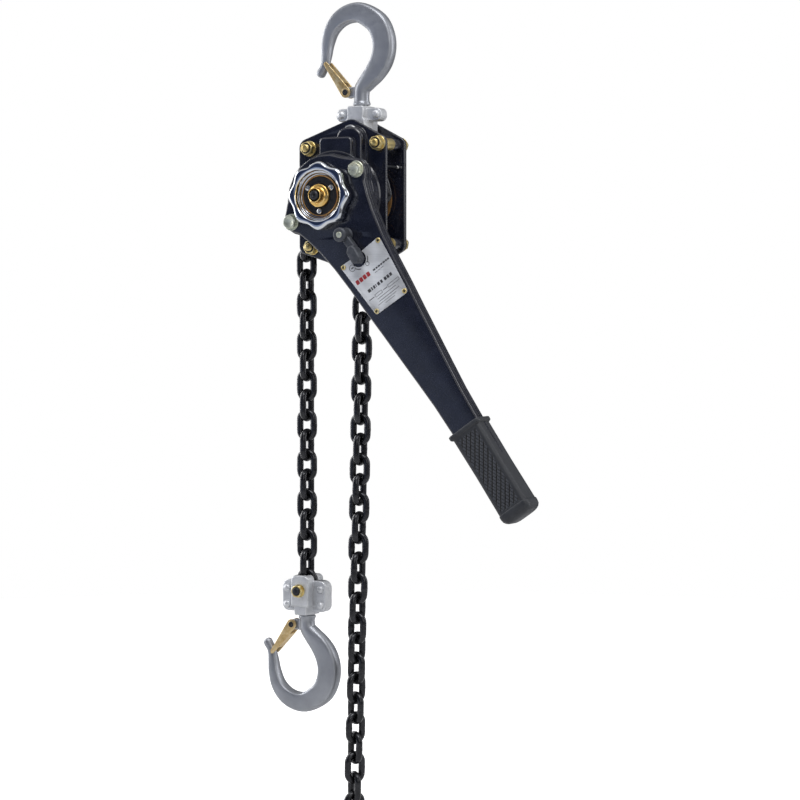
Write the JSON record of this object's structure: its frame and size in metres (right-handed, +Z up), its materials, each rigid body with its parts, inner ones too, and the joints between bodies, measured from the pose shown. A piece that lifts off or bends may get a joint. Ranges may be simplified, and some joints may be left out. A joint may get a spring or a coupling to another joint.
{
  "type": "lever chain hoist",
  "caption": "Manual lever chain hoist with swivel top and bottom hooks, ratchet lever with rubber grip, lobed handwheel, side plates and a load chain.",
  "frame": {"origin": "seat of the top hook, the point the hoist hangs from", "axes": "+Z up along the hanging hoist, +X to the right seen from the handwheel, +Y away from the handwheel"},
  "size_m": [0.3404, 0.1256, 0.8779],
  "materials": {
    "black_paint": "glossy black-navy enamel",
    "chain_steel": "blackened, oiled",
    "chrome": "polished",
    "cast_steel": "bright, shot blasted",
    "forged_hook": "satin silver",
    "yellow_zinc": "yellow zinc plate",
    "pale_zinc": "pale zinc plate",
    "gold_steel": "gold passivated sheet",
    "steel": "machined",
    "dark_steel": "dark oxide",
    "friction": "resin-bonded lining",
    "rubber": "moulded, diamond knurl",
    "brushed_plate": "brushed",
    "bronze": "bronze"
  },
  "bodies": {
    "hoist_frame": {"front_side_plate": "black_paint", "rear_side_plate": "black_paint", "brake_cover": "black_paint", "gear_cover": "black_paint", "stay_bolt_upper_left": "yellow_zinc", "stay_bolt_upper_right": "yellow_zinc", "stay_bolt_lower_left": "yellow_zinc", "stay_bolt_lower_right": "yellow_zinc", "front_nut_upper_left": "yellow_zinc", "front_nut_upper_right": "yellow_zinc", "front_nut_lower_left": "yellow_zinc", "front_nut_lower_right": "yellow_zinc", "top_hook_pin": "steel", "chain_stripper": "steel", "front_sheave_bearing": "bronze", "rear_sheave_bearing": "bronze", "wrapped_chain": "chain_steel", "load_chain": "chain_steel"},
    "drive_shaft": {"pinion_shaft": "steel", "brake_hub": "steel", "inner_friction_disc": "friction", "ratchet_wheel": "steel", "outer_friction_disc": "friction", "change_gear": "steel"},
    "handwheel": {"handwheel": "chrome", "handwheel_stop_plate": "dark_steel", "free_wheel_spring": "gold_steel"},
    "load_sheave": {"load_sheave": "bronze", "load_gear": "steel"},
    "upper_reduction": {"upper_reduction_gear": "steel"},
    "lower_reduction": {"lower_reduction_gear": "steel"},
    "upper_pawl": {"upper_brake_pawl": "steel"},
    "lower_pawl": {"lower_brake_pawl": "steel"},
    "load_roller": {"load_guide_roller": "steel"},
    "slack_roller": {"slack_guide_roller": "steel"},
    "lever": {"lever_front_shell": "black_paint", "lever_rear_shell": "black_paint", "lever_bolt_right": "pale_zinc", "lever_bolt_left": "pale_zinc", "lever_grip": "rubber", "data_plate": "brushed_plate"},
    "selector": {"selector_knob": "dark_steel", "change_pawl": "steel"},
    "top_yoke": {"top_yoke_front": "cast_steel", "top_yoke_rear": "cast_steel"},
    "top_hook": {"top_hook": "forged_hook", "top_latch_pin": "yellow_zinc"},
    "top_latch": {"top_latch": "gold_steel"},
    "load_end": {"chain_pin": "yellow_zinc", "chain_pin_nut": "yellow_zinc"},
    "bottom_yoke": {"bottom_yoke_front": "cast_steel", "bottom_yoke_rear": "cast_steel"},
    "bottom_hook": {"bottom_hook": "forged_hook", "bottom_latch_pin": "yellow_zinc"},
    "bottom_latch": {"bottom_latch": "gold_steel"},
    "slack_strand": {"slack_chain_upper": "chain_steel"},
    "slack_tail": {"slack_chain_lower": "chain_steel", "chain_end_ring": "yellow_zinc"}
  },
  "joints": [
    {"name": "drive_shaft_spin", "type": "hinge", "parent": "hoist_frame", "child": "drive_shaft", "pos_m": [-0.0045, 0, -0.1796], "axis": [0, 1, 0], "range_deg": [0, 720]},
    {"name": "handwheel_pull", "type": "slide", "parent": "drive_shaft", "child": "handwheel", "axis": [0, -1, 0], "range_m": [0, 0.004]},
    {"name": "load_sheave_spin", "type": "hinge", "parent": "hoist_frame", "child": "load_sheave", "pos_m": [-0.0045, 0, -0.1796], "axis": [0, 1, 0], "range_deg": [0, 72]},
    {"name": "upper_reduction_spin", "type": "hinge", "parent": "hoist_frame", "child": "upper_reduction", "pos_m": [-0.0045, 0, -0.1454], "axis": [0, 1, 0], "range_deg": [-240, 0]},
    {"name": "lower_reduction_spin", "type": "hinge", "parent": "hoist_frame", "child": "lower_reduction", "pos_m": [-0.0045, 0, -0.2138], "axis": [0, 1, 0], "range_deg": [-240, 0]},
    {"name": "upper_pawl_drop", "type": "hinge", "parent": "hoist_frame", "child": "upper_pawl", "pos_m": [-0.01664, 0, -0.14624], "axis": [0, 1, 0], "range_deg": [0, 4.5]},
    {"name": "lower_pawl_drop", "type": "hinge", "parent": "hoist_frame", "child": "lower_pawl", "pos_m": [0.00764, 0, -0.21296], "axis": [0, 1, 0], "range_deg": [0, 4.5]},
    {"name": "load_roller_spin", "type": "hinge", "parent": "hoist_frame", "child": "load_roller", "pos_m": [-0.039, 0, -0.2306], "axis": [0, 1, 0], "range_deg": [0, 432]},
    {"name": "slack_roller_spin", "type": "hinge", "parent": "hoist_frame", "child": "slack_roller", "pos_m": [0.028, 0, -0.2346], "axis": [0, 1, 0], "range_deg": [-526, 0]},
    {"name": "lever_swing", "type": "hinge", "parent": "hoist_frame", "child": "lever", "pos_m": [-0.0045, 0, -0.1796], "axis": [0, 1, 0], "continuous": true},
    {"name": "selector_turn", "type": "hinge", "parent": "lever", "child": "selector", "pos_m": [0.022, 0, -0.21963], "axis": [0, 1, 0], "range_deg": [-24, 24]},
    {"name": "top_yoke_tilt", "type": "hinge", "parent": "hoist_frame", "child": "top_yoke", "pos_m": [0.0065, 0, -0.1136], "axis": [0, 1, 0], "range_deg": [-25, 25]},
    {"name": "top_hook_swivel", "type": "hinge", "parent": "top_yoke", "child": "top_hook", "pos_m": [0.0065, 0, -0.0896], "axis": [0, 0, 1], "continuous": true},
    {"name": "top_latch_open", "type": "hinge", "parent": "top_hook", "child": "top_latch", "pos_m": [-0.0095, 0, -0.0706], "axis": [0, 1, 0], "range_deg": [0, 40]},
    {"name": "load_lift", "type": "slide", "parent": "hoist_frame", "child": "load_end", "axis": [0, 0, 1], "range_m": [0, 0.042], "deforming": ["load_chain"]},
    {"name": "bottom_yoke_swing", "type": "hinge", "parent": "load_end", "child": "bottom_yoke", "pos_m": [-0.0595, 0, -0.5899], "axis": [0, 1, 0], "range_deg": [-6, 30]},
    {"name": "bottom_hook_swivel", "type": "hinge", "parent": "bottom_yoke", "child": "bottom_hook", "pos_m": [-0.0595, 0, -0.6096], "axis": [0, 0, 1], "range_deg": [-150, 150]},
    {"name": "bottom_latch_open", "type": "hinge", "parent": "bottom_hook", "child": "bottom_latch", "pos_m": [-0.0755, 0, -0.6275], "axis": [0, -1, 0], "range_deg": [0, 40]},
    {"name": "slack_feed", "type": "slide", "parent": "hoist_frame", "child": "slack_strand", "axis": [0, 0, -1], "range_m": [0, 0.042], "deforming": ["wrapped_chain"]},
    {"name": "slack_tail_swing", "type": "hinge", "parent": "slack_strand", "child": "slack_tail", "pos_m": [0.00327, 0, -0.4926], "axis": [0, 1, 0], "range_deg": [-15, 0]}
  ],
  "couplings": [
    {"joint": "load_sheave_spin", "follows": "drive_shaft_spin", "ratio": 0.1},
    {"joint": "upper_reduction_spin", "follows": "drive_shaft_spin", "ratio": -0.33333},
    {"joint": "lower_reduction_spin", "follows": "drive_shaft_spin", "ratio": -0.33333},
    {"joint": "load_roller_spin", "follows": "drive_shaft_spin", "ratio": 0.5968},
    {"joint": "slack_roller_spin", "follows": "drive_shaft_spin", "ratio": -0.7265},
    {"joint": "load_lift", "follows": "drive_shaft_spin", "m_per_rad": 0.003342},
    {"joint": "slack_feed", "follows": "drive_shaft_spin", "m_per_rad": 0.003342},
    {"joint": "lower_pawl_drop", "follows": "upper_pawl_drop", "ratio": 1}
  ]
}
